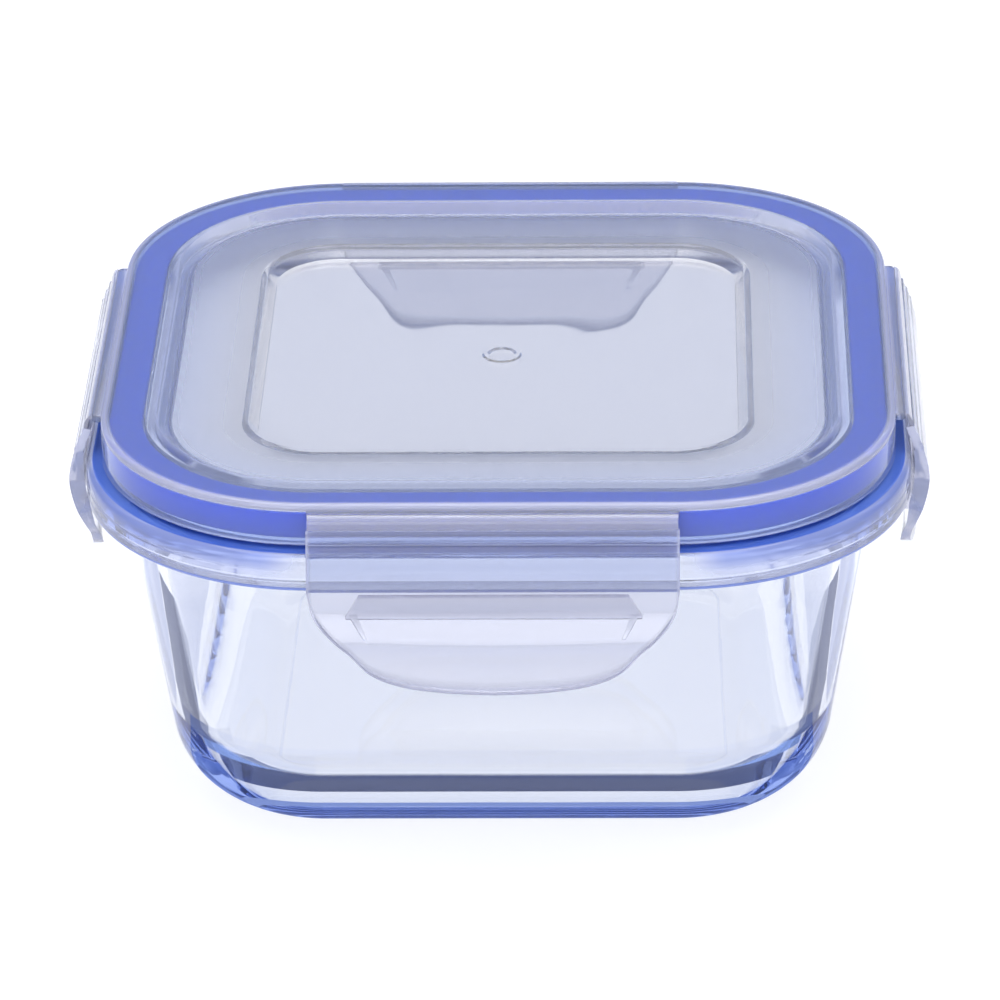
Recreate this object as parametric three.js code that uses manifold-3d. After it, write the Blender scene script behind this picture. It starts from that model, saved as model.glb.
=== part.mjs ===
// Square glass storage container with a snap-lock lid.
// Millimetres, +Z up. The origin is the centre of the underside of the glass bowl.
//
// Every outline seen from above is a rounded square, and all of them share the same
// four corner centres, so a corner's radius is the outline's half-width minus CORNER_CENTRE.
// A profile is a path of (half-width, height) points, drawn from the axis or the inside
// bottom outwards and upwards, and swept round that family of rounded squares.

import * as THREE from 'three';
import { mergeVertices } from 'three/addons/utils/BufferGeometryUtils.js';
import Module from 'manifold-3d';

const wasm = await Module();
wasm.setup();

// ---------- driving dimensions ----------

const CORNER_CENTRE = 26;
const CORNER_SEGMENTS = 8;
const ARC_DIVISIONS = 2;

const bowl = {
  footHalfWidth: 36.2,
  footFillet: 13.6,
  wallHalfWidth: 55.2,
  rimHalfWidth: 60.9,
  rimBottom: 48.6,
  rimTop: 54.5,
  rimRound: 1.0,
  underRimRound: 1.2,
  beadInner: 53.4,
  beadOuter: 56.1,
  beadTop: 57.4,
  beadRound: 0.9,
  beadFootRound: 1,
  innerWallTop: 51.3,
  innerWallTopHeight: 49.5,
  innerWallBottom: 46.4,
  innerFillet: 13,
  mouthFlare: 0.4,
  floor: 4.5,
};

const lid = {
  wall: 1.3,
  skirtBottom: 55,
  skirtOuter: 58.6,
  skirtInner: 57.6,
  ridgeTop: 61.4,
  ridgeInner: 50.5,
  ridgeSlope: 2.2,
  plateTop: 60,
  channelInner: 52,
  channelWallFoot: 56.9,
  channelWallInner: 50.6,
  panelHalfWidth: 35.2,
  panelSlope: 2.3,
  panelDepth: 1.9,
  panelStepRun: 0.4,
  panelStepRound: 1.6,
  channelWallRun: 1.2,
  skirtDraft: 0.1,
  edgeRound: 0.6,
  footRound: 0.3,
};

const gasket = {
  gap: 0.3,
  underside: 57.75,
  outerLipFoot: 55.7,
  outerLip: 0.7,
  innerLipFoot: 56.7,
  innerLip: 0.8,
  topRound: 0.4,
};

const hinge = {
  lugOuter: 59.9,
  lugTop: 60.7,
  lugBottom: 59.5,
  lugEndRound: 0.8,
  lugOverlap: 0.5,
  webGap: 0.3,
  webThickness: 0.45,
  webBulge: 0.35,
  webInset: 0.1,
  webEndGap: 0.4,
};

const flap = {
  halfLength: 26.7,
  thickness: 1.2,
  top: 58.6,
  topOuter: 61.15,
  bottom: 33,
  endBottom: 49.5,
  innermost: 58,
  outermost: 66,
  topMargin: 2,
  barFace: 61.15,
  barBack: 62.4,
  barTop: 48.6,
  barShoulder: 46.6,
  barBottom: 44.8,
  barHalfLengthTop: 19.4,
  barHalfLength: 21.3,
  ribBack: 61.9,
  ribInset: 0.8,
  ribTop: 45.1,
  ribWidth: 0.7,
  ribFoot: 41.2,
  ribLean: 2,
};

const material = (color, roughness, opacity) =>
  new THREE.MeshStandardMaterial({ color, roughness, metalness: 0, opacity, transparent: opacity < 1 });

const materials = {
  glass: material(0xdfe8f4, 0.03, 0.35),
  polypropylene: material(0xdfe0f0, 0.28, 0.55),
  silicone: material(0x6c80d8, 0.5, 1),
};

// ---------- helpers ----------

// One rounded-square ring of the shared family, counter-clockwise seen from above.
function roundedSquareRing(halfWidth, height) {
  const radius = halfWidth - CORNER_CENTRE;
  const ring = [];
  for (let corner = 0; corner < 4; corner += 1) {
    const middle = Math.PI / 4 + (corner * Math.PI) / 2;
    const cx = CORNER_CENTRE * Math.SQRT2 * Math.cos(middle);
    const cy = CORNER_CENTRE * Math.SQRT2 * Math.sin(middle);
    for (let step = 0; step <= CORNER_SEGMENTS; step += 1) {
      const angle = middle - Math.PI / 4 + (step / CORNER_SEGMENTS) * (Math.PI / 2);
      ring.push([cx + radius * Math.cos(angle), cy + radius * Math.sin(angle), height]);
    }
  }
  return ring;
}

// Sweeps a profile round the rounded squares. A profile either starts and ends on the
// axis, where it is closed by flat fans, or closes on itself.
function sweepProfile(path, divisions = ARC_DIVISIONS) {
  const points = path.getPoints(divisions);
  const closesOnAxis = points[0].x === 0;
  const rings = (closesOnAxis ? points.slice(1, -1) : points).map((p) => roundedSquareRing(p.x, p.y));
  const around = rings[0].length;
  const positions = rings.flat(2);
  const indices = [];
  const loops = closesOnAxis ? rings.length - 1 : rings.length;
  for (let i = 0; i < loops; i += 1) {
    const here = i * around;
    const next = ((i + 1) % rings.length) * around;
    for (let j = 0; j < around; j += 1) {
      const k = (j + 1) % around;
      indices.push(here + j, here + k, next + k);
      indices.push(here + j, next + k, next + j);
    }
  }
  if (closesOnAxis) {
    const start = positions.length / 3;
    const end = start + 1;
    positions.push(0, 0, points[0].y, 0, 0, points.at(-1).y);
    const last = (rings.length - 1) * around;
    for (let j = 0; j < around; j += 1) {
      const k = (j + 1) % around;
      indices.push(start, k, j);
      indices.push(last + j, last + k, end);
    }
  }
  return indexedGeometry(positions, indices);
}

function indexedGeometry(positions, indices) {
  const geometry = new THREE.BufferGeometry();
  geometry.setAttribute('position', new THREE.Float32BufferAttribute(positions, 3));
  geometry.setIndex(Array.from(indices));
  geometry.computeVertexNormals();
  return geometry;
}

function toSolid(geometry) {
  const bare = geometry.clone();
  bare.deleteAttribute('normal');
  bare.deleteAttribute('uv');
  const merged = mergeVertices(bare, 1e-4);
  return new wasm.Manifold(
    new wasm.Mesh({
      numProp: 3,
      vertProperties: new Float32Array(merged.attributes.position.array),
      triVerts: new Uint32Array(merged.index.array),
    }),
  );
}

function fromSolid(solid) {
  const mesh = solid.getMesh();
  return indexedGeometry(Array.from(mesh.vertProperties), mesh.triVerts);
}

// Flaps, webs and lugs are drawn for the +X side of the container. A section in the
// (x, z) plane is extruded along y, and an outline in the (y, z) plane along x.
function extrudeSection(shape, length, curveSegments = 4) {
  const geometry = new THREE.ExtrudeGeometry(shape, { depth: length, bevelEnabled: false, curveSegments });
  geometry.rotateX(Math.PI / 2);
  geometry.translate(0, length / 2, 0);
  return geometry;
}

function extrudeOutline(shape, from, to, curveSegments = 4) {
  const depth = to - from;
  const geometry = new THREE.ExtrudeGeometry(shape, { depth, bevelEnabled: false, curveSegments });
  const axes = new THREE.Matrix4().makeBasis(
    new THREE.Vector3(0, 1, 0),
    new THREE.Vector3(0, 0, 1),
    new THREE.Vector3(1, 0, 0),
  );
  geometry.applyMatrix4(axes);
  geometry.translate(from, 0, 0);
  return geometry;
}

// ---------- glass bowl ----------

function bowlGeometry() {
  const b = bowl;
  const wallLean = Math.atan2(
    b.wallHalfWidth - b.footHalfWidth - b.footFillet,
    b.rimBottom - b.footFillet,
  );
  const innerLean = Math.atan2(
    b.innerWallTop - b.innerWallBottom,
    b.innerWallTopHeight - b.floor - b.innerFillet,
  );
  const innerFilletX = b.innerWallBottom - b.innerFillet;
  const profile = new THREE.Path();
  profile.moveTo(0, 0);
  profile.lineTo(b.footHalfWidth, 0);
  profile.absarc(b.footHalfWidth, b.footFillet, b.footFillet, -Math.PI / 2, -wallLean, false);
  profile.lineTo(b.wallHalfWidth, b.rimBottom - b.underRimRound);
  profile.quadraticCurveTo(b.wallHalfWidth, b.rimBottom, b.wallHalfWidth + b.underRimRound, b.rimBottom);
  profile.lineTo(b.rimHalfWidth - b.rimRound, b.rimBottom);
  profile.absarc(b.rimHalfWidth - b.rimRound, b.rimBottom + b.rimRound, b.rimRound, -Math.PI / 2, 0, false);
  profile.absarc(b.rimHalfWidth - b.rimRound, b.rimTop - b.rimRound, b.rimRound, 0, Math.PI / 2, false);
  profile.lineTo(b.beadOuter + b.beadFootRound, b.rimTop);
  profile.quadraticCurveTo(b.beadOuter, b.rimTop, b.beadOuter, b.rimTop + b.beadFootRound);
  profile.absarc(b.beadOuter - b.beadRound, b.beadTop - b.beadRound, b.beadRound, 0, Math.PI / 2, false);
  profile.absarc(b.beadInner + b.beadRound, b.beadTop - b.beadRound, b.beadRound, Math.PI / 2, Math.PI, false);
  profile.quadraticCurveTo(b.beadInner - b.mouthFlare, b.rimTop, b.innerWallTop, b.innerWallTopHeight);
  profile.absarc(innerFilletX, b.floor + b.innerFillet, b.innerFillet, -innerLean, -Math.PI / 2, true);
  profile.lineTo(0, b.floor);
  return sweepProfile(profile);
}

// ---------- lid panel ----------

function lidProfile() {
  const l = lid;
  const plateUnderside = l.plateTop - l.wall;
  const channelRoof = l.ridgeTop - l.wall;
  const panelTop = l.plateTop - l.panelDepth;
  const panelUnderside = panelTop - l.wall;
  const panelEdge = l.panelHalfWidth + l.panelSlope;
  const underPanelEdge = panelEdge + l.panelStepRun;
  const skirtTop = l.skirtOuter - l.skirtDraft;
  const round = l.footRound;
  const profile = new THREE.Path();
  profile.moveTo(0, panelUnderside);
  profile.lineTo(l.panelHalfWidth + l.panelStepRun, panelUnderside);
  profile.quadraticCurveTo(underPanelEdge, panelUnderside, underPanelEdge, plateUnderside);
  profile.lineTo(l.channelWallInner - l.channelWallRun, plateUnderside);
  profile.lineTo(l.channelWallInner, l.channelWallFoot + round);
  profile.lineTo(l.channelWallInner + round, l.channelWallFoot);
  profile.lineTo(l.channelInner - round, l.channelWallFoot);
  profile.lineTo(l.channelInner, l.channelWallFoot + round);
  profile.lineTo(l.channelInner, channelRoof);
  profile.lineTo(l.skirtInner - l.skirtDraft, channelRoof);
  profile.lineTo(l.skirtInner + l.skirtDraft, l.skirtBottom + round);
  profile.lineTo(l.skirtInner + round, l.skirtBottom);
  profile.lineTo(l.skirtOuter - round, l.skirtBottom);
  profile.lineTo(l.skirtOuter, l.skirtBottom + round);
  profile.lineTo(skirtTop, l.ridgeTop - l.edgeRound);
  profile.quadraticCurveTo(skirtTop, l.ridgeTop, skirtTop - l.edgeRound, l.ridgeTop);
  profile.lineTo(l.ridgeInner, l.ridgeTop);
  profile.quadraticCurveTo(
    l.ridgeInner - l.edgeRound,
    l.ridgeTop,
    l.ridgeInner - l.ridgeSlope,
    l.plateTop,
  );
  profile.lineTo(panelEdge, l.plateTop);
  profile.quadraticCurveTo(panelEdge - l.panelStepRound, l.plateTop, l.panelHalfWidth, panelTop);
  profile.lineTo(0, panelTop);
  return profile;
}

// The lug is the straight shelf that carries one flap's living hinge.
function lugGeometry() {
  const inner = lid.skirtInner + hinge.lugOverlap;
  const length = flap.halfLength;
  const round = hinge.lugEndRound;
  const outline = new THREE.Shape();
  outline.moveTo(inner, -length);
  outline.lineTo(hinge.lugOuter - round, -length);
  outline.absarc(hinge.lugOuter - round, -length + round, round, -Math.PI / 2, 0, false);
  outline.absarc(hinge.lugOuter - round, length - round, round, 0, Math.PI / 2, false);
  outline.lineTo(inner, length);
  outline.closePath();
  const depth = hinge.lugTop - hinge.lugBottom;
  const geometry = new THREE.ExtrudeGeometry(outline, { depth, bevelEnabled: false, curveSegments: 4 });
  geometry.translate(0, 0, hinge.lugBottom);
  return geometry;
}

function lidGeometry() {
  let solid = toSolid(sweepProfile(lidProfile()));
  for (let side = 0; side < 4; side += 1) {
    solid = solid.add(toSolid(lugGeometry().rotateZ((side * Math.PI) / 2)));
  }
  return fromSolid(solid);
}

// ---------- gasket ----------

// A square-cornered block under the lid's channel roof with two lips that straddle the bead.
function gasketGeometry() {
  const g = gasket;
  const inner = lid.channelInner + g.gap;
  const outer = lid.skirtInner - lid.skirtDraft - g.gap;
  const top = lid.ridgeTop - lid.wall - g.gap;
  const profile = new THREE.Path();
  profile.moveTo(inner, g.innerLipFoot);
  profile.lineTo(inner + g.innerLip, g.innerLipFoot);
  profile.lineTo(inner + g.innerLip, g.underside);
  profile.lineTo(outer - g.outerLip, g.underside);
  profile.lineTo(outer - g.outerLip, g.outerLipFoot);
  profile.lineTo(outer, g.outerLipFoot);
  profile.lineTo(outer, top - g.topRound);
  profile.lineTo(outer - g.topRound, top);
  profile.lineTo(inner + g.topRound, top);
  profile.lineTo(inner, top - g.topRound);
  return sweepProfile(profile);
}

// ---------- flap ----------

// The outer face bulges over the rim, tucks in below it and flares into the finger lip.
const flapFace = new THREE.SplineCurve([
  new THREE.Vector2(flap.topOuter, flap.top),
  new THREE.Vector2(62.6, 55.1),
  new THREE.Vector2(63.75, 50.2),
  new THREE.Vector2(62.95, 44.9),
  new THREE.Vector2(62.35, 41),
  new THREE.Vector2(62.5, 36.8),
  new THREE.Vector2(63, flap.bottom),
]);
const FLAP_FACE_STEPS = 18;

function flapSection() {
  const outer = [];
  const inner = [];
  for (let i = 0; i <= FLAP_FACE_STEPS; i += 1) {
    const t = i / FLAP_FACE_STEPS;
    const point = flapFace.getPoint(t);
    const along = flapFace.getTangent(t);
    outer.push(point);
    inner.push(new THREE.Vector2(point.x + along.y * flap.thickness, point.y - along.x * flap.thickness));
  }
  return new THREE.Shape([...outer, ...inner.reverse()]);
}

// The lower edge of the flap, from one straight end to the other through the lip's middle.
function flapOutline() {
  const toLip = [
    [flap.halfLength, flap.endBottom],
    [25.9, 45.5],
    [23.5, 41.5],
    [20.9, 38.6],
    [18, 35.5],
    [13.4, 33.9],
  ];
  const above = flap.top + flap.topMargin;
  const leftHalf = toLip.slice(1).map(([y, z]) => new THREE.Vector2(-y, z));
  const rightHalf = toLip.reverse().map(([y, z]) => new THREE.Vector2(y, z));
  const outline = new THREE.Shape();
  outline.moveTo(-flap.halfLength, above);
  outline.lineTo(-flap.halfLength, flap.endBottom);
  outline.splineThru([...leftHalf, new THREE.Vector2(0, flap.bottom), ...rightHalf]);
  outline.lineTo(flap.halfLength, above);
  outline.closePath();
  return outline;
}

// The locking bar on the inner face, a flat trapezium that sits just outside the rim.
function barGeometry() {
  const outline = new THREE.Shape();
  outline.moveTo(-flap.barHalfLengthTop, flap.barTop);
  outline.lineTo(-flap.barHalfLength, flap.barShoulder);
  outline.lineTo(-flap.barHalfLength, flap.barBottom);
  outline.lineTo(flap.barHalfLength, flap.barBottom);
  outline.lineTo(flap.barHalfLength, flap.barShoulder);
  outline.lineTo(flap.barHalfLengthTop, flap.barTop);
  outline.closePath();
  return extrudeOutline(outline, flap.barFace, flap.barBack);
}

// A slanted rib that stiffens the lip under each end of the locking bar.
function ribGeometry(side) {
  const top = side * (flap.barHalfLength - flap.ribInset);
  const foot = top - side * flap.ribLean;
  const outline = new THREE.Shape();
  outline.moveTo(top, flap.ribTop);
  outline.lineTo(top - side * flap.ribWidth, flap.ribTop);
  outline.lineTo(foot, flap.ribFoot);
  outline.closePath();
  return extrudeOutline(outline, flap.barFace, flap.ribBack);
}

function flapGeometry() {
  const sheet = toSolid(extrudeSection(flapSection(), 2 * flap.halfLength));
  const outline = toSolid(extrudeOutline(flapOutline(), flap.innermost, flap.outermost, 3));
  const solid = sheet
    .intersect(outline)
    .add(toSolid(barGeometry()))
    .add(toSolid(ribGeometry(1)))
    .add(toSolid(ribGeometry(-1)));
  return fromSolid(solid);
}

// ---------- living-hinge web ----------

// A thin strip that runs from the lug's outer edge down and out to the flap's top edge.
function webGeometry() {
  const h = hinge;
  const top = new THREE.Vector2(h.lugOuter + h.webGap, h.lugTop - h.webInset);
  const foot = new THREE.Vector2(flap.topOuter - h.webInset, flap.top + h.webGap);
  const bulge = new THREE.Vector2(foot.x - h.webInset, (top.y + foot.y) / 2 + h.webBulge);
  const section = new THREE.Shape();
  section.moveTo(top.x, top.y);
  section.quadraticCurveTo(bulge.x, bulge.y, foot.x, foot.y);
  section.lineTo(foot.x - h.webThickness, foot.y);
  section.quadraticCurveTo(
    bulge.x - h.webThickness,
    bulge.y - h.webThickness,
    top.x,
    top.y - h.webThickness,
  );
  section.closePath();
  return extrudeSection(section, 2 * (flap.halfLength - h.webEndGap));
}

// ---------- assembly ----------

function namedMesh(name, geometry, meshMaterial) {
  const mesh = new THREE.Mesh(geometry, meshMaterial);
  mesh.name = name;
  return mesh;
}

const container = new THREE.Group();
container.add(namedMesh('glass_bowl', bowlGeometry(), materials.glass));

const lidGroup = new THREE.Group();
lidGroup.add(namedMesh('lid_panel', lidGeometry(), materials.polypropylene));
lidGroup.add(namedMesh('gasket', gasketGeometry(), materials.silicone));

const sharedFlap = flapGeometry();
const sharedWeb = webGeometry();
['right', 'back', 'left', 'front'].forEach((side, quarter) => {
  const turned = new THREE.Group();
  turned.rotation.z = (quarter * Math.PI) / 2;
  turned.add(namedMesh(`${side}_hinge_web`, sharedWeb, materials.polypropylene));
  turned.add(namedMesh(`${side}_flap`, sharedFlap, materials.polypropylene));
  lidGroup.add(turned);
});
container.add(lidGroup);

export default container;
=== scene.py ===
"""Square glass storage container with a snap-lock lid, closed, on a plain pale floor.

Lengths are in metres in the row frame: +Z up, the origin under the middle of the bowl.
Every outline seen from above is a rounded square, and all of them share the same corner
centres, so each moulding is a profile of (half-width, height) points swept round them.
"""

import math

import bmesh
import bpy
from mathutils import Matrix, Vector


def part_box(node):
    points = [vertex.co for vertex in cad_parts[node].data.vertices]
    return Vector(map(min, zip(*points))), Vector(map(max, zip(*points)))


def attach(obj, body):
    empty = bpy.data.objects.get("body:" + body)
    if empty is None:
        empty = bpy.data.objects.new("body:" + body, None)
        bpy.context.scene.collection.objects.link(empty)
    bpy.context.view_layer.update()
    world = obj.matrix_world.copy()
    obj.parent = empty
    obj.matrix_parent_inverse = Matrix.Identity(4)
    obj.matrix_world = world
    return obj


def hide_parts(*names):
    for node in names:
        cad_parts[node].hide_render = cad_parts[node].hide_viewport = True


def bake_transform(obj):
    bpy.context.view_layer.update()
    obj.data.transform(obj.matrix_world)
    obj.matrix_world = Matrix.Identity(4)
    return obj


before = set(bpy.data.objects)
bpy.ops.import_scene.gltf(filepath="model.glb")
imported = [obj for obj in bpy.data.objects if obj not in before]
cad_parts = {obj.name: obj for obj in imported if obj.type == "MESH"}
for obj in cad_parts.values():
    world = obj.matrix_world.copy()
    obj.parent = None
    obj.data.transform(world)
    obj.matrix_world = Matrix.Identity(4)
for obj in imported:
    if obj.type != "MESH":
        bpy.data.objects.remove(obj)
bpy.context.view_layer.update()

MM = 0.001
SIDES = {"right": 0, "back": 1, "left": 2, "front": 3}  # quarter turns from +X

# ---------- sizes from the frame ----------

bowl_low, bowl_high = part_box("glass_bowl")
lid_low, lid_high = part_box("lid_panel")
gasket_low, gasket_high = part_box("gasket")
flap_low, flap_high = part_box("right_flap")
web_low, web_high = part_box("right_hinge_web")

CORNER_CENTRE = 26 * MM
RIM = bowl_high.x
BEAD_TOP = bowl_high.z
LUG_OUTER = lid_high.x
SKIRT_FOOT = lid_low.z
LID_TOP = lid_high.z
FLAP_HALF_LENGTH = flap_high.y
FLAP_TOP = flap_high.z
FLAP_FOOT = flap_low.z

CORNER_STEPS = 44
FILLET_STEP = math.radians(5)
NEAR = 0.05 * MM  # slack when a painted part is picked out by its place


# ---------- mesh helpers ----------


def smoothstep(low, high, value):
    t = min(1.0, max(0.0, (value - low) / (high - low)))
    return t * t * (3 - 2 * t)


def rounded_path(corners, closed=False):
    """A path through (x, z, radius) corners, each turned by a tangent arc of its radius."""
    points = []
    count = len(corners)
    for i, (x, z, radius) in enumerate(corners):
        here = Vector((x, z))
        if radius == 0 or (not closed and i in (0, count - 1)):
            points.append(here)
            continue
        before = (Vector(corners[i - 1][:2]) - here).normalized()
        after = (Vector(corners[(i + 1) % count][:2]) - here).normalized()
        half = before.angle(after) / 2
        turn = math.pi - 2 * half
        reach = radius / math.tan(half)
        centre = here + (before + after).normalized() * (radius / math.sin(half))
        start = here + before * reach - centre
        sign = 1 if before.x * after.y - before.y * after.x < 0 else -1
        steps = max(2, math.ceil(turn / FILLET_STEP))
        for k in range(steps + 1):
            spin = Matrix.Rotation(sign * turn * k / steps, 2)
            points.append(centre + spin @ start)
    return points


def rounded_square_ring(half_width):
    """One ring of the shared family. Towards the middle it eases into a circle."""
    centre = CORNER_CENTRE * smoothstep(0.2 * CORNER_CENTRE, 1.3 * CORNER_CENTRE, half_width)
    ring = []
    for corner in range(4):
        middle = math.pi / 4 + corner * math.pi / 2
        pivot = Vector((math.cos(middle), math.sin(middle))) * centre * math.sqrt(2)
        for step in range(CORNER_STEPS + 1):
            angle = middle - math.pi / 4 + step / CORNER_STEPS * math.pi / 2
            ring.append(pivot + Vector((math.cos(angle), math.sin(angle))) * (half_width - centre))
    return ring


def sweep(name, profile, closed=False):
    """Sweeps a profile round the rounded squares. An open profile starts and ends on the axis."""
    verts = []
    faces = []
    inner = profile if closed else profile[1:-1]
    for point in inner:
        verts += [(p.x, p.y, point.y) for p in rounded_square_ring(point.x)]
    around = 4 * (CORNER_STEPS + 1)
    rows = len(inner)
    for i in range(rows if closed else rows - 1):
        here, above = i * around, (i + 1) % rows * around
        for j in range(around):
            k = (j + 1) % around
            faces.append((here + j, here + k, above + k, above + j))
    if not closed:
        first, last = len(verts), len(verts) + 1
        verts += [(0, 0, profile[0].y), (0, 0, profile[-1].y)]
        top = (rows - 1) * around
        for j in range(around):
            k = (j + 1) % around
            faces.append((first, k, j))
            faces.append((top + j, top + k, last))
    return new_mesh(name, verts, faces)


def new_mesh(name, verts, faces):
    mesh = bpy.data.meshes.new(name)
    mesh.from_pydata([tuple(v) for v in verts], [], faces)
    body = bmesh.new()
    body.from_mesh(mesh)
    bmesh.ops.remove_doubles(body, verts=body.verts, dist=1e-3 * MM)
    bmesh.ops.recalc_face_normals(body, faces=body.faces)
    body.to_mesh(mesh)
    body.free()
    obj = bpy.data.objects.new(name, mesh)
    bpy.context.scene.collection.objects.link(obj)
    return obj


def prism_faces(count):
    """The faces of a prism whose two outlines of `count` points follow one another."""
    faces = [tuple(range(count))[::-1], tuple(range(count, 2 * count))]
    for i in range(count):
        k = (i + 1) % count
        faces.append((i, k, count + k, count + i))
    return faces


def prism(name, outline, low, high):
    """A closed prism with an outline in the (y, z) plane, from x = low to x = high."""
    verts = [(low, p.x, p.y) for p in outline] + [(high, p.x, p.y) for p in outline]
    return new_mesh(name, verts, prism_faces(len(outline)))


def apply_modifiers(obj):
    graph = bpy.context.evaluated_depsgraph_get()
    obj.data = bpy.data.meshes.new_from_object(obj.evaluated_get(graph))
    obj.modifiers.clear()
    return obj


def join_solids(obj, others):
    """Fuses other closed solids into obj, and removes them."""
    for other in others:
        union = obj.modifiers.new("union", "BOOLEAN")
        union.operation = "UNION"
        union.solver = "EXACT"
        union.object = other
        apply_modifiers(obj)
        bpy.data.objects.remove(other)
    return obj


def bevel(obj, width, segments=3, angle=40):
    rounding = obj.modifiers.new("bevel", "BEVEL")
    rounding.width = width
    rounding.segments = segments
    rounding.limit_method = "ANGLE"
    rounding.angle_limit = math.radians(angle)
    return apply_modifiers(obj)


def shade(obj, angle=40):
    obj.data.shade_smooth()
    obj.data.set_sharp_from_angle(angle=math.radians(angle))
    return obj


def finish_piece(obj, material, body, slot, *nodes):
    obj.data.materials.clear()
    obj.data.materials.append(material)
    if body:
        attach(obj, body)
    if nodes:
        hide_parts(*nodes)
    return obj


# ---------- materials ----------

PAINTED_GUIDED_BLUE = (0.06, 0.13, 0.5)  # painted blue light, standing in for light guided far along the glass from the seal
MILK_AND_SHADE_LILAC = (0.42, 0.43, 0.58)  # thick cloudy plastic, partly real milkiness and partly painted edge shade
PAINTED_SEAL_BLUE = (0.45, 0.58, 0.93)  # painted light: the blue of the seal behind the plastic, painted into its colour


def new_material(name, **sockets):
    material = bpy.data.materials.new(name)
    material.use_nodes = True
    shader = material.node_tree.nodes["Principled BSDF"]
    for socket, value in sockets.items():
        shader.inputs[socket.replace("_", " ")].default_value = value
    return material, material.node_tree, shader


def object_noise(tree, scale, detail=2.0):
    position = tree.nodes.new("ShaderNodeTexCoord")
    noise = tree.nodes.new("ShaderNodeTexNoise")
    noise.inputs["Scale"].default_value = scale
    noise.inputs["Detail"].default_value = detail
    tree.links.new(position.outputs["Object"], noise.inputs["Vector"])
    return noise


def add_bump(tree, shader, height, strength, distance):
    bump = tree.nodes.new("ShaderNodeBump")
    bump.inputs["Strength"].default_value = strength
    bump.inputs["Distance"].default_value = distance
    tree.links.new(height, bump.inputs["Height"])
    tree.links.new(bump.outputs["Normal"], shader.inputs["Normal"])


def remap(tree, value, low, high):
    span = tree.nodes.new("ShaderNodeMapRange")
    span.inputs["To Min"].default_value = low
    span.inputs["To Max"].default_value = high
    tree.links.new(value, span.inputs["Value"])
    return span.outputs["Result"]


def mix_colours(tree, factor, low, high):
    mix = tree.nodes.new("ShaderNodeMix")
    mix.data_type = "RGBA"
    mix.inputs["A"].default_value = (*low, 1)
    mix.inputs["B"].default_value = (*high, 1)
    tree.links.new(factor, mix.inputs["Factor"])
    return mix.outputs["Result"]


def attribute(tree, name):
    node = tree.nodes.new("ShaderNodeAttribute")
    node.attribute_name = name
    return node.outputs["Fac"]


def glass_material():
    """Pressed glass: clear, with a moulded surface's waviness and painted blue light where light guided
    along the glass from the seal would show.
    """
    material, tree, shader = new_material(
        "pressed_glass",
        Roughness=0.0,
        IOR=1.48,
    )
    # painted light: blue, with less transmission, where light guided along the glass would show
    edge = attribute(tree, "painted_guided_light")
    tree.links.new(mix_colours(tree, edge, (1.0, 1.0, 1.0), PAINTED_GUIDED_BLUE), shader.inputs["Base Color"])
    tree.links.new(remap(tree, edge, 1.0, 0.25), shader.inputs["Transmission Weight"])
    waves = object_noise(tree, 55, detail=1.0)
    add_bump(tree, shader, waves.outputs["Fac"], 0.12, 0.4 * MM)
    absorb = tree.nodes.new("ShaderNodeVolumeAbsorption")
    absorb.inputs["Color"].default_value = (0.57, 0.67, 0.9, 1)
    absorb.inputs["Density"].default_value = 30.0
    output = tree.nodes["Material Output"]
    tree.links.new(absorb.outputs["Volume"], output.inputs["Volume"])
    return material


def plastic_material(name, tint):
    """Cloudy translucent polypropylene, painted by attributes: frosted grain, thick edges that are
    partly real milkiness and partly painted edge shade, and painted blue light that stands in for the
    seal seen through the plastic.
    """
    material, tree, shader = new_material(name, Base_Color=(*tint, 1), IOR=1.49)
    frost = attribute(tree, "frost")
    milk_and_shade = attribute(tree, "milk_and_shade")
    tree.links.new(remap(tree, frost, 0.03, 0.33), shader.inputs["Roughness"])
    cloud = tree.nodes.new("ShaderNodeMath")
    cloud.operation = "MULTIPLY_ADD"
    cloud.inputs[1].default_value = 0.2
    tree.links.new(frost, cloud.inputs[0])
    tree.links.new(milk_and_shade, cloud.inputs[2])
    clarity = remap(tree, cloud.outputs["Value"], 0.94, 0.45)
    tree.links.new(clarity, shader.inputs["Transmission Weight"])
    # painted light: the seal's blue painted into the plastic
    clear = mix_colours(tree, attribute(tree, "painted_seal_light"), tint, PAINTED_SEAL_BLUE)
    # partly real milkiness and partly painted edge shade: darker lilac, less clear
    milk_and_shade_colour = mix_colours(tree, milk_and_shade, tint, MILK_AND_SHADE_LILAC)
    tree.links.new(clear, milk_and_shade_colour.node.inputs["A"])
    tree.links.new(milk_and_shade_colour, shader.inputs["Base Color"])
    grain = object_noise(tree, 2600)
    height = tree.nodes.new("ShaderNodeMath")
    height.operation = "MULTIPLY"
    tree.links.new(grain.outputs["Fac"], height.inputs[0])
    tree.links.new(frost, height.inputs[1])
    add_bump(tree, shader, height.outputs["Value"], 0.5, 0.03 * MM)
    return material


def silicone_material():
    """Satin blue silicone with a faint moulding texture."""
    material, tree, shader = new_material(
        "blue_silicone",
        Base_Color=(0.05, 0.16, 1.0, 1),
        IOR=1.42,
        Subsurface_Weight=0.25,
        Subsurface_Scale=0.0015,
    )
    grain = object_noise(tree, 1800)
    roughness = remap(tree, grain.outputs["Fac"], 0.36, 0.5)
    tree.links.new(roughness, shader.inputs["Roughness"])
    add_bump(tree, shader, grain.outputs["Fac"], 0.25, 0.03 * MM)
    return material


# ---------- glass bowl ----------


LEDGE_LOW = 48.6 * MM
LEDGE_TOP = 54.5 * MM
BEAD_OUTER = 56.1 * MM


def reach_of(x, y):
    """The half-width of the rounded square that passes through (x, y)."""
    beyond = Vector((max(0, abs(x) - CORNER_CENTRE), max(0, abs(y) - CORNER_CENTRE)))
    return CORNER_CENTRE + beyond.length


def new_attribute(obj, name):
    """A per-vertex number that the materials read, at 0 to start with."""
    return obj.data.attributes.new(name, "FLOAT", "POINT").data


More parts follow.
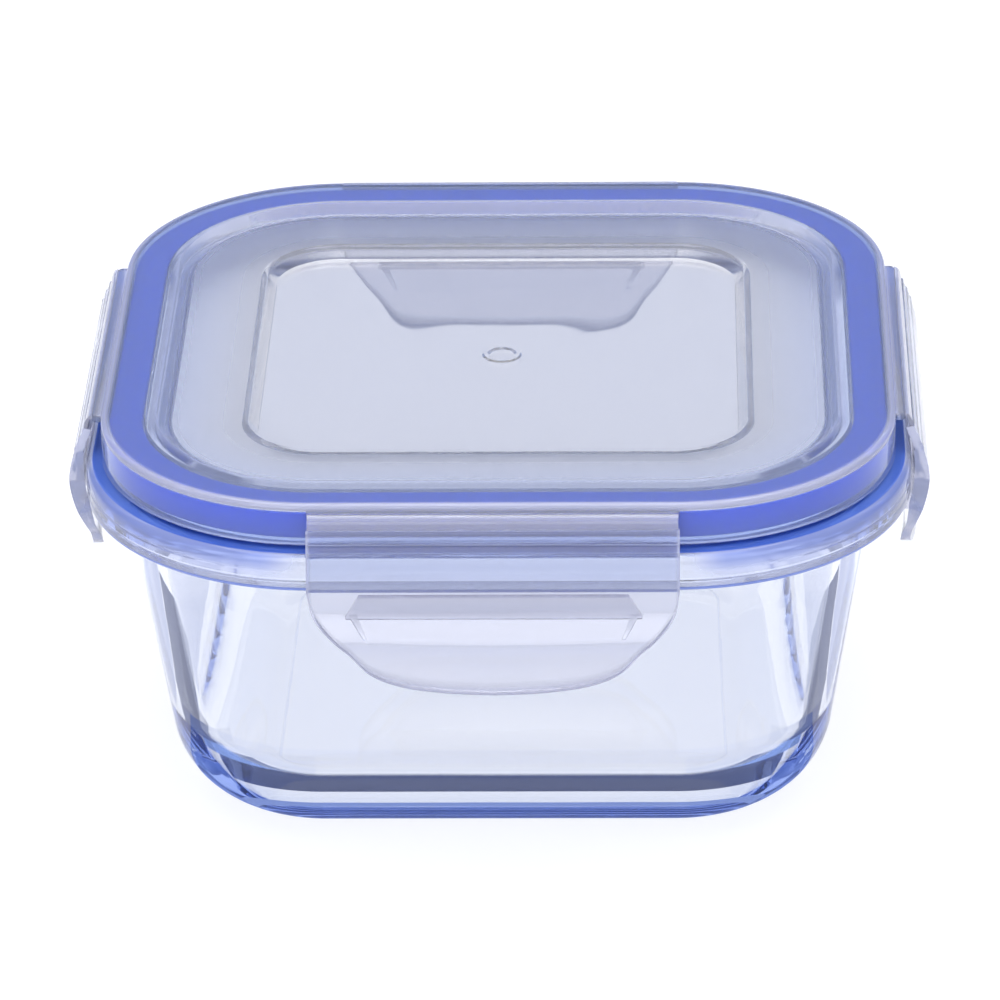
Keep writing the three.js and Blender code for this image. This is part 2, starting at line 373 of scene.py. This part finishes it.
def paint_guided_light(obj):
    """Paints blue light, standing in for light guided far along the glass from the seal, on the ledge,
    the rim's corners and its lower edge.
    """
    tint = new_attribute(obj, "painted_guided_light")
    for vertex in obj.data.vertices:
        x, y, z = vertex.co
        reach = reach_of(x, y)
        on_ledge = abs(z - LEDGE_TOP) < 0.1 * MM and BEAD_OUTER < reach - 0.4 * MM < RIM - 1.3 * MM
        on_rim = reach > RIM - 1.9 * MM
        under_rim = reach > RIM - 1.1 * MM and z < LEDGE_LOW + 0.9 * MM
        corner = smoothstep(24 * MM, 34 * MM, min(abs(x), abs(y)))
        upper = smoothstep(51 * MM, 53 * MM, z)
        ledge = 1 if on_ledge else 0
        rim = 0.05 + (0.35 + 0.4 * upper) * corner if on_rim else 0
        under = 0.9 if under_rim else 0
        tint[vertex.index].value = max(rim, ledge, under)


def rim_groove(height):
    """One of the fine moulded lines that run round the rim's outer face."""
    half, depth = 0.28 * MM, 0.1 * MM
    return [
        (RIM, height - half, 0.25 * MM),
        (RIM - depth, height, 0.3 * MM),
        (RIM, height + half, 0.25 * MM),
    ]


def make_bowl():
    foot_corner, wall_top = 47.7 * MM, 55.2 * MM
    bead_inner = 53.4 * MM
    floor, inner_corner, inner_top = 4.5 * MM, 44.75 * MM, 51.4 * MM
    flat = 34 * MM
    outside = [
        (0, 0, 0),
        (flat, 0, 0),
        (foot_corner, 0, 13.6 * MM),
        (wall_top, LEDGE_LOW, 1.2 * MM),
        (RIM, LEDGE_LOW, 1.0 * MM),
        *rim_groove(50.6 * MM),
        *rim_groove(52.0 * MM),
        (RIM, LEDGE_TOP, 1.3 * MM),
        (BEAD_OUTER, LEDGE_TOP, 0.8 * MM),
        (BEAD_OUTER, BEAD_TOP, 0.9 * MM),
    ]
    inside = [
        (bead_inner, BEAD_TOP, 0.9 * MM),
        (bead_inner - 0.3 * MM, LEDGE_TOP, 4 * MM),
        (inner_top, 49.5 * MM, 8 * MM),
        (inner_corner, floor, 13 * MM),
        (flat, floor, 0),
        (0, floor, 0),
    ]
    bowl = shade(sweep("bowl_glass", rounded_path(outside + inside)))
    paint_guided_light(bowl)
    return finish_piece(bowl, glass_material(), "bowl", "glass", "glass_bowl")


# ---------- lid ----------

LID_WALL = 1.3 * MM
PLATE_TOP = 60 * MM
PANEL_EDGE = 37.5 * MM
PANEL_FLOOR = 58.1 * MM
RIDGE_INNER = 50.4 * MM
RIDGE_FOOT = 48.2 * MM
SKIRT = 58.6 * MM


def lid_profile():
    under_plate, under_panel = PLATE_TOP - LID_WALL, PANEL_FLOOR - LID_WALL
    roof = LID_TOP - LID_WALL
    gate, gate_rise = 2.7 * MM, 0.18 * MM
    corners = [
        (0, under_panel, 0),
        (PANEL_EDGE - 3 * MM, under_panel, 0),
        (PANEL_EDGE - 1.8 * MM, under_panel, 0.5 * MM),
        (PANEL_EDGE + 0.2 * MM, under_plate, 0.8 * MM),
        (RIDGE_INNER - 1.2 * MM, under_plate, 0.8 * MM),
        (RIDGE_INNER + 0.1 * MM, 56.9 * MM, 0.5 * MM),
        (52 * MM, 56.9 * MM, 0.4 * MM),
        (52 * MM, roof, 0.15 * MM),
        (SKIRT - 1.1 * MM, roof, 0.3 * MM),
        (SKIRT - 0.9 * MM, SKIRT_FOOT, 0.3 * MM),
        (SKIRT, SKIRT_FOOT, 0.3 * MM),
        (SKIRT - 0.02 * MM, 56 * MM, 0),
        (SKIRT - 0.08 * MM, 60.2 * MM, 0),
        (SKIRT - 0.1 * MM, LID_TOP, 0.75 * MM),
        (57.2 * MM, LID_TOP, 0),
        (51.4 * MM, LID_TOP, 0),
        (RIDGE_INNER, LID_TOP, 0.7 * MM),
        (RIDGE_FOOT, PLATE_TOP, 0.9 * MM),
        (PANEL_EDGE - 0.6 * MM, PLATE_TOP, 0.9 * MM),
        (PANEL_EDGE - 2.1 * MM, PANEL_FLOOR, 0.4 * MM),
        (PANEL_EDGE - 3.4 * MM, PANEL_FLOOR, 0),
        (gate + 0.3 * MM, PANEL_FLOOR, 0.2 * MM),
        (gate, PANEL_FLOOR + gate_rise, 0.15 * MM),
        (gate - 0.5 * MM, PANEL_FLOOR + gate_rise, 0.2 * MM),
        (gate - 0.9 * MM, PANEL_FLOOR, 0.3 * MM),
        (0, PANEL_FLOOR, 0),
    ]
    return rounded_path(corners)


def make_lug(turns):
    outline = rounded_path([
        (SKIRT - 0.7 * MM, -FLAP_HALF_LENGTH, 0),
        (LUG_OUTER, -FLAP_HALF_LENGTH, 0.8 * MM),
        (LUG_OUTER, FLAP_HALF_LENGTH, 0.8 * MM),
        (SKIRT - 0.7 * MM, FLAP_HALF_LENGTH, 0),
    ], closed=True)
    low, high = 59.5 * MM, 60.7 * MM
    verts = [(p.x, p.y, low) for p in outline] + [(p.x, p.y, high) for p in outline]
    lug = bevel(new_mesh("lug", verts, prism_faces(len(outline))), 0.2 * MM)
    lug.data.transform(Matrix.Rotation(turns * math.pi / 2, 4, "Z"))
    return lug


def between(value, low, full, ebb, high):
    """Rises from 0 at low to 1 at full, and falls from 1 at ebb to 0 at high, all in millimetres."""
    return smoothstep(low * MM, full * MM, value) * (1 - smoothstep(ebb * MM, high * MM, value))


def paint_lid(obj):
    """Marks the grained plate, the thick edges that are partly real milkiness and partly painted edge
    shade, and the painted blue light that stands in for the seal seen through the plastic.
    """
    frost = new_attribute(obj, "frost")
    milk_and_shade = new_attribute(obj, "milk_and_shade")
    glow = new_attribute(obj, "painted_seal_light")
    fade = 0.5 * MM
    skirt_inner = SKIRT - 1.3 * MM
    for vertex in obj.data.vertices:
        z = vertex.co.z
        reach = reach_of(vertex.co.x, vertex.co.y)
        past_panel = smoothstep(PANEL_EDGE - fade, PANEL_EDGE + fade, reach)
        past_plate = smoothstep(RIDGE_FOOT - fade, RIDGE_FOOT + fade, reach)
        frost[vertex.index].value = past_panel * max(1 - past_plate, 0.2)
        past_skirt = smoothstep(skirt_inner, skirt_inner + 0.3 * MM, reach)
        slope = between(reach, 48, 49, 50.8, 51.2)
        edge = smoothstep(60.2 * MM, 60.7 * MM, z) * (1 if reach < SKIRT + 0.1 * MM else 0.2)
        edge *= smoothstep(skirt_inner, skirt_inner + 0.6 * MM, reach)
        foot = past_skirt * (1 - smoothstep(55.3 * MM, 55.9 * MM, z))
        # partly real milkiness and partly painted edge shade on the slope, the top edge and the skirt's
        # foot
        milk_and_shade[vertex.index].value = max(0.35 * slope, 0.85 * edge, 0.5 * foot)
        roof = between(reach, 48, 50, 57, 57.6)
        shoulder = between(reach, 45, 48, 48, 50)
        skirt = 1 if reach > skirt_inner and z < 60.4 * MM else 0
        # painted light: the seal's blue on the skirt, the roof and the shoulder
        glow[vertex.index].value = max(skirt, 0.3 * roof, 0.25 * shoulder)


def make_lid(plastic):
    lid = sweep("lid_shell", lid_profile())
    join_solids(lid, [make_lug(turns) for turns in range(4)])
    shade(lid, 35)
    paint_lid(lid)
    return finish_piece(lid, plastic, "lid", "lid_plastic", "lid_panel")


def make_gasket():
    inner, outer = 52.3 * MM, gasket_high.x
    under, inner_foot = 57.75 * MM, 56.7 * MM
    top, outer_foot = gasket_high.z, gasket_low.z
    corners = [
        (inner, inner_foot, 0.3 * MM),
        (inner + 0.8 * MM, inner_foot, 0.3 * MM),
        (inner + 0.8 * MM, under, 0.2 * MM),
        (outer - 0.7 * MM, under, 0.2 * MM),
        (outer - 0.7 * MM, outer_foot, 0.3 * MM),
        (outer, outer_foot, 0.3 * MM),
        (outer, top, 0.4 * MM),
        (inner, top, 0.4 * MM),
    ]
    ring = shade(sweep("seal_ring", rounded_path(corners, closed=True), closed=True))
    return finish_piece(ring, silicone_material(), "lid", "seal_silicone", "gasket")


# ---------- flaps ----------

FLAP_COLUMNS = 96
FLAP_ROWS = 72
GRIP_RISE = 0.12 * MM
GRIP_RIDGES = (58.3 * MM, 56.9 * MM, 55.3 * MM)


def catmull_rom(points, steps):
    """A smooth curve through the points, as a list of vectors."""
    ends = [2 * points[0] - points[1], *points, 2 * points[-1] - points[-2]]
    curve = []
    for i in range(1, len(ends) - 2):
        a, b, c, d = ends[i - 1:i + 3]
        for k in range(steps):
            t = k / steps
            curve.append(0.5 * (2 * b + (c - a) * t + (2 * a - 5 * b + 4 * c - d) * t ** 2
                                + (3 * b - a - 3 * c + d) * t ** 3))
    curve.append(points[-1])
    return curve


def interpolate(curve, value, key, result):
    """Reads coordinate `result` of a curve where its rising coordinate `key` has this value."""
    for before, after in zip(curve, curve[1:]):
        if value <= after[key]:
            span = after[key] - before[key]
            t = 0 if span == 0 else (value - before[key]) / span
            return before[result] + (after[result] - before[result]) * t
    return curve[-1][result]


def flap_face():
    """(reach from the middle, height) along the outer face, from the lip up to the hinge."""
    points = [
        (61.1 * MM, FLAP_FOOT),
        (61.3 * MM, 38 * MM),
        (61.9 * MM, 41 * MM),
        (62.9 * MM, 45 * MM),
        (flap_high.x - GRIP_RISE, 50.2 * MM),
        (62.6 * MM, 55.1 * MM),
        (61.15 * MM, FLAP_TOP),
    ]
    return catmull_rom([Vector(p) for p in points], 8)


def flap_edge():
    """(distance along the flap from its middle, height) of the lower edge of one half."""
    points = [
        (0, FLAP_FOOT),
        (7 * MM, 33.25 * MM),
        (13.4 * MM, 33.9 * MM),
        (18 * MM, 35.5 * MM),
        (20.9 * MM, 38.6 * MM),
        (23.5 * MM, 41.5 * MM),
        (25.9 * MM, 45.5 * MM),
        (FLAP_HALF_LENGTH, 50 * MM),
    ]
    return catmull_rom([Vector(p) for p in points], 8)


def flap_outer(face, y, z):
    """The outer face of a flap: the curved profile, a flared lip and fine moulded ridges."""
    flare = 1.8 * MM * max(0, 1 - (y / (19 * MM)) ** 2) * (1 - smoothstep(FLAP_FOOT, 41 * MM, z))
    ridge = sum(max(0, 1 - ((z - height) / (0.3 * MM)) ** 2) for height in GRIP_RIDGES)
    return interpolate(face, z, 1, 0) + flare + GRIP_RISE * ridge


def flap_wall(z):
    """The wall of a flap: thickest where it passes the rim of the bowl."""
    middle = smoothstep(39 * MM, 46 * MM, z) * (1 - smoothstep(50 * MM, 57 * MM, z))
    lip = 1 - smoothstep(FLAP_FOOT, 40 * MM, z)
    return (1.2 + 1.1 * middle + 0.5 * lip) * MM


def make_flap_sheet():
    """The curved sheet of a flap on the +X side: an outer and an inner grid, closed round the rim."""
    face, edge = flap_face(), flap_edge()
    outer = []
    inner = []
    for column in range(FLAP_COLUMNS + 1):
        y = math.sin((column / FLAP_COLUMNS - 0.5) * math.pi) * FLAP_HALF_LENGTH
        foot = interpolate(edge, abs(y), 0, 1)
        for row in range(FLAP_ROWS + 1):
            fall = row / FLAP_ROWS
            z = FLAP_TOP + (foot - FLAP_TOP) * (0.45 * fall + 0.55 * fall ** 3)
            x = flap_outer(face, y, z)
            rise = interpolate(face, z + 0.5 * MM, 1, 0) - interpolate(face, z - 0.5 * MM, 1, 0)
            across = Vector((-1, rise / MM)).normalized() * flap_wall(z)
            outer.append((x, y, z))
            inner.append((x + across.x, y, min(FLAP_TOP, z + across.y)))
    depth = len(outer)
    across_one = FLAP_ROWS + 1
    faces = []
    for a in range(depth - across_one):
        if a % across_one < FLAP_ROWS:
            b = a + across_one
            faces.append((a, a + 1, b + 1, b))
            faces.append((depth + a, depth + b, depth + b + 1, depth + a + 1))
    for row in (0, FLAP_ROWS):
        for a in range(row, depth - across_one, across_one):
            b = a + across_one
            faces.append((a, b, depth + b, depth + a))
    for first in (0, depth - across_one):
        for a in range(first, first + FLAP_ROWS):
            faces.append((a, a + 1, depth + a + 1, depth + a))
    return new_mesh("flap", outer + inner, faces)


BAR_TOP = 48.4 * MM
BAR_FOOT = 44.8 * MM
BAR_HALF_LENGTH = 21.3 * MM
BAR_INNER = 60.1 * MM


def make_lock_bar():
    top, foot = BAR_TOP, BAR_FOOT
    half, half_top = BAR_HALF_LENGTH, 19.4 * MM
    outline = [
        Vector((-half, foot)),
        Vector((half, foot)),
        Vector((half, foot + 0.6 * MM)),
        Vector((half_top, top)),
        Vector((-half_top, top)),
        Vector((-half, foot + 0.6 * MM)),
    ]
    return bevel(prism("bar", outline, BAR_INNER, 61.7 * MM), 0.2 * MM, 2)


def make_rib(side):
    top, foot = 45.3 * MM, 41.2 * MM
    outline = [
        Vector((side * 20.8 * MM, top)),
        Vector((side * 19.7 * MM, top)),
        Vector((side * 18.4 * MM, foot)),
        Vector((side * 18.8 * MM, foot)),
    ]
    return prism("rib", outline, 59.7 * MM, 61.2 * MM)


def paint_flap(obj):
    """Marks the cloudy border along the flap's edge, its locking bar and its thick hinge end, partly
    real milkiness and partly painted edge shade, and paints the seal's blue light on the flap's top
    band.
    """
    edge = flap_edge()
    milk_and_shade = new_attribute(obj, "milk_and_shade")
    glow = new_attribute(obj, "painted_seal_light")
    for vertex in obj.data.vertices:
        x, y, z = vertex.co
        foot = interpolate(edge, abs(y), 0, 1)
        lip = 1 - smoothstep(0.2 * MM, 1.4 * MM, z - foot)
        end = smoothstep(FLAP_HALF_LENGTH - 0.7 * MM, FLAP_HALF_LENGTH - 0.1 * MM, abs(y))
        bar = 0.6 if z > BAR_FOOT - NEAR and x < BAR_INNER + 0.3 * MM else 0
        # partly real milkiness and partly painted edge shade on the lip, the hinge end and the lock
        # bar's face
        milk_and_shade[vertex.index].value = max(0.55 * lip, 0.6 * end, bar)
        # painted light: the seal's blue on the flap's top band
        glow[vertex.index].value = 0.3 * smoothstep(49 * MM, 52 * MM, z)


def make_flap_mesh():
    flap = make_flap_sheet()
    join_solids(flap, [make_lock_bar(), make_rib(1), make_rib(-1)])
    bevel(flap, 0.28 * MM, 3, 55)
    paint_flap(flap)
    return flap


def make_web_mesh():
    """The thin bending strip between a lug and its flap, on the +X side."""
    thickness = 0.45 * MM
    top = Vector((LUG_OUTER + 0.03 * MM, web_high.z))
    foot = Vector((web_high.x, FLAP_TOP + 0.03 * MM))
    bulge = Vector((foot.x - 0.1 * MM, top.y - 0.25 * MM))
    steps = 12
    outer = []
    for k in range(steps + 1):
        t = k / steps
        outer.append(top * (1 - t) ** 2 + bulge * 2 * t * (1 - t) + foot * t ** 2)
    inner = []
    for k, point in enumerate(outer):
        along = (outer[min(k + 1, steps)] - outer[max(k - 1, 0)]).normalized()
        inner.append(point + Vector((along.y, -along.x)) * thickness)
    section = outer + inner[::-1]
    half = FLAP_HALF_LENGTH - 0.2 * MM
    count = len(section)
    slices = 24
    verts = []
    for s in range(slices + 1):
        y = -half + 2 * half * s / slices
        verts += [(p.x, y, p.y) for p in section]
    faces = [tuple(range(count)), tuple(range(slices * count, (slices + 1) * count))[::-1]]
    for s in range(slices):
        for i in range(count):
            k = (i + 1) % count
            a, b = s * count, (s + 1) * count
            faces.append((a + i, b + i, b + k, a + k))
    web = new_mesh("web", verts, faces)
    # cloudier plastic on the whole strip, partly painted shade
    new_attribute(web, "milk_and_shade").foreach_set("value", [0.35] * len(web.data.vertices))
    return web


def make_flaps_and_webs(plastic):
    flap, web = make_flap_mesh(), make_web_mesh()
    for name, turns in SIDES.items():
        spin = Matrix.Rotation(turns * math.pi / 2, 4, "Z")
        side_flap = bpy.data.objects.new(f"{name}_lock_flap", flap.data.copy())
        side_web = bpy.data.objects.new(f"{name}_hinge_strip", web.data.copy())
        for piece in (side_flap, side_web):
            bpy.context.scene.collection.objects.link(piece)
            piece.data.transform(spin)
            shade(piece, 35)
        finish_piece(side_flap, plastic, f"{name}_flap_body", "lid_plastic", f"{name}_flap")
        finish_piece(side_web, plastic, None, "lid_plastic", f"{name}_hinge_web")
        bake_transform(side_web)
    for spare in (flap, web):
        bpy.data.objects.remove(spare)


# ---------- floor, light and camera ----------


def circle(radius, count=96):
    turn = 2 * math.pi / count
    return [(radius * math.cos(turn * i), radius * math.sin(turn * i), 0) for i in range(count)]


def make_floor():
    verts = circle(3.0)
    floor = new_mesh("floor", verts, [tuple(range(len(verts)))])
    floor.location.z = -0.05 * MM
    material, _, _ = new_material(
        "floor_white",
        Base_Color=(0.2, 0.2, 0.21, 1),
        Roughness=0.9,
        Emission_Color=(0.96, 0.97, 1.0, 1),
        Emission_Strength=0.86,
    )
    floor.data.materials.append(material)


def make_backdrop():
    """A white wall round the floor that only the camera sees, so low views stay plain."""
    foot = circle(2.9)
    top = [(x, y, 2.5) for x, y, _ in foot]
    count = len(foot)
    faces = [(i, (i + 1) % count, count + (i + 1) % count, count + i) for i in range(count)]
    wall = new_mesh("backdrop", foot + top, faces)
    material, _, _ = new_material(
        "backdrop_white",
        Base_Color=(0.0, 0.0, 0.0, 1),
        Roughness=1.0,
        Emission_Color=(1.0, 1.0, 1.0, 1),
        Emission_Strength=1.0,
    )
    wall.data.materials.append(material)
    wall.visible_diffuse = False
    wall.visible_glossy = False
    wall.visible_transmission = False
    wall.visible_shadow = False


def make_card(name, verts, faces, colour, glow, seen):
    """A flat glowing card on the floor, seen only refracted or reflected by the glass, that puts
    painted shade and light into it.
    """
    card = new_mesh(name, verts, faces)
    material, _, _ = new_material(
        name + "_paint",
        Base_Color=(*colour, 1),
        Roughness=1.0,
        Emission_Color=(*glow, 1),
        Emission_Strength=1.0,
    )
    card.data.materials.append(material)
    card.visible_camera = False
    card.visible_diffuse = False
    card.visible_transmission = seen == "refracted"
    card.visible_glossy = seen == "reflected"
    card.visible_shadow = False


def ring_band(inner, outer, behind, height, beside=0):
    """A flat band of the shared outline family, kept in front of y = behind and beyond x = beside."""
    verts = []
    faces = []
    for half_width in (inner, outer):
        verts += [(p.x, p.y, height) for p in rounded_square_ring(half_width)]
    around = len(verts) // 2
    for i in range(around):
        k = (i + 1) % around
        if max(verts[i][1], verts[k][1]) < behind and min(abs(verts[i][0]), abs(verts[k][0])) >= beside:
            faces.append((i, k, around + k, around + i))
    return verts, faces


def wings(outline, height):
    """A flat shape of (x, y) millimetres on the right of the foot, and its mirror image."""
    count = len(outline)
    verts = [(side * x * MM, y * MM, height) for side in (-1, 1) for x, y in outline]
    return verts, [tuple(range(count))[::-1], tuple(range(count, 2 * count))]


def merge(*shapes):
    """Puts several (verts, faces) shapes into one."""
    verts = []
    faces = []
    for more_verts, more_faces in shapes:
        start = len(verts)
        verts += more_verts
        faces += [tuple(start + i for i in face) for face in more_faces]
    return verts, faces


def make_cards():
    """Cards round the foot that draw the slate, blue and pale lines in the glass: painted shade where
    the foot's contact shadow falls, painted blue and pale light seen through the glass, and a painted
    blue reflection on the foot.
    """
    shade_wing = [
        (52, -16), (52, -44), (61, -44), (64, -26), (84, -20),
        (94, -8), (95, 13), (90, 11), (66, -4), (60, -14),
    ]
    pale_wing = [(58, -6), (66, -3), (90, 12), (98, 16), (98, 42), (57, 42)]
    foot_shade = ring_band(40.7 * MM, 48 * MM, -30 * MM, 0.02 * MM)
    shade = merge(foot_shade, wings(shade_wing, 0.04 * MM))
    pale = wings(pale_wing, 0.03 * MM)
    blue = ring_band(48 * MM, 60 * MM, -24 * MM, 0.03 * MM, beside=28 * MM)
    foot = ring_band(34 * MM, 66 * MM, -10 * MM, 0.01 * MM)
    # painted shade: a dark ring and wings where the foot's contact shadow falls
    make_card("shade_card", *shade, (0.05, 0.06, 0.09), (0.05, 0.055, 0.11), "refracted")
    # painted light: a pale glow seen through the side walls
    make_card("pale_card", *pale, (0.05, 0.05, 0.06), (0.48, 0.52, 0.7), "refracted")
    # painted light: a blue glow seen through the glass
    make_card("blue_card", *blue, (0.1, 0.16, 0.34), (0.2, 0.27, 0.46), "refracted")
    # painted reflection: blue seen on the foot
    make_card("foot_card", *foot, (0.1, 0.15, 0.35), (0.22, 0.28, 0.5), "reflected")


def make_world():
    """A white studio: bright above and in front, with a slate band low down at the back."""
    world = bpy.data.worlds.new("studio")
    world.use_nodes = True
    tree = world.node_tree
    background = tree.nodes["Background"]
    position = tree.nodes.new("ShaderNodeTexCoord")
    split = tree.nodes.new("ShaderNodeSeparateXYZ")
    ramp = tree.nodes.new("ShaderNodeValToRGB")
    stops = [
        (0.0, (0.9, 0.92, 1.0)),
        (0.5, (0.1, 0.15, 0.34)),
        (0.56, (0.18, 0.25, 0.46)),
        (0.72, (0.24, 0.31, 0.56)),
        (0.84, (1.0, 1.0, 1.03)),
    ]
    while len(ramp.color_ramp.elements) < len(stops):
        ramp.color_ramp.elements.new(0.5)
    for element, (place, colour) in zip(ramp.color_ramp.elements, stops):
        element.position = place
        element.color = (*colour, 1)
    tree.links.new(position.outputs["Generated"], split.inputs["Vector"])
    height = tree.nodes.new("ShaderNodeMapRange")
    height.inputs["From Min"].default_value = -1
    tree.links.new(split.outputs["Z"], height.inputs["Value"])
    tree.links.new(height.outputs["Result"], ramp.inputs["Fac"])
    backward = tree.nodes.new("ShaderNodeMapRange")
    backward.inputs["From Min"].default_value = -0.1
    backward.inputs["From Max"].default_value = 0.35
    tree.links.new(split.outputs["Y"], backward.inputs["Value"])
    front = (0.8, 0.84, 0.95)
    studio = mix_colours(tree, backward.outputs["Result"], front, front)
    tree.links.new(ramp.outputs["Color"], studio.node.inputs["B"])
    tree.links.new(studio, background.inputs["Color"])
    background.inputs["Strength"].default_value = 1.4
    bpy.context.scene.world = world


def make_area_light(name, place, target, size, power):
    lamp = bpy.data.lights.new(name, "AREA")
    lamp.shape = "RECTANGLE"
    lamp.size, lamp.size_y = size
    lamp.energy = power
    light = bpy.data.objects.new(name, lamp)
    light.location = place
    light.rotation_euler = (Vector(target) - Vector(place)).to_track_quat("-Z", "Y").to_euler()
    bpy.context.scene.collection.objects.link(light)


def make_camera():
    """The photograph's viewpoint: 26 degrees above the horizon, slightly to the right."""
    place = Vector((0.0256, -0.8928, 0.4699))
    yaw, pitch, roll = -0.02939, 0.45436, -0.01558
    level = Vector((math.sin(yaw), math.cos(yaw), 0))
    forward = level * math.cos(pitch) - Vector((0, 0, math.sin(pitch)))
    right = forward.cross(Vector((0, 0, 1))).normalized()
    up = right.cross(forward)
    rolled_right = math.cos(roll) * right + math.sin(roll) * up
    rolled_up = math.cos(roll) * up - math.sin(roll) * right
    data = bpy.data.cameras.new("camera")
    data.sensor_width = 36
    data.lens = 234.48
    data.clip_end = 20
    camera = bpy.data.objects.new("camera", data)
    camera.matrix_world = Matrix((rolled_right, rolled_up, -forward)).transposed().to_4x4()
    camera.location = place
    bpy.context.scene.collection.objects.link(camera)
    bpy.context.scene.camera = camera


# ---------- assembly ----------

LIGHT_BOUNCES = 36  # light runs far inside the glass before it gets out

make_camera()
make_floor()
make_backdrop()
make_cards()
make_world()
make_area_light("overhead", (0, -0.1, 1.4), (0, 0, 0), (1.2, 1.2), 14)
make_area_light("front_fill", (-0.3, -1.2, 0.45), (0, 0, 0.05), (0.9, 0.5), 2)
bpy.context.scene.view_settings.view_transform = "Standard"
bpy.context.scene.cycles.max_bounces = LIGHT_BOUNCES
bpy.context.scene.cycles.transmission_bounces = LIGHT_BOUNCES
bpy.context.scene.cycles.glossy_bounces = LIGHT_BOUNCES

make_bowl()
# painted shade: the lid's plastic is tinted darker than the same plastic on the flaps
make_lid(plastic_material("shaded_lid_plastic", (0.65, 0.65, 0.67)))
make_gasket()
make_flaps_and_webs(plastic_material("flap_plastic", (0.82, 0.82, 0.88)))
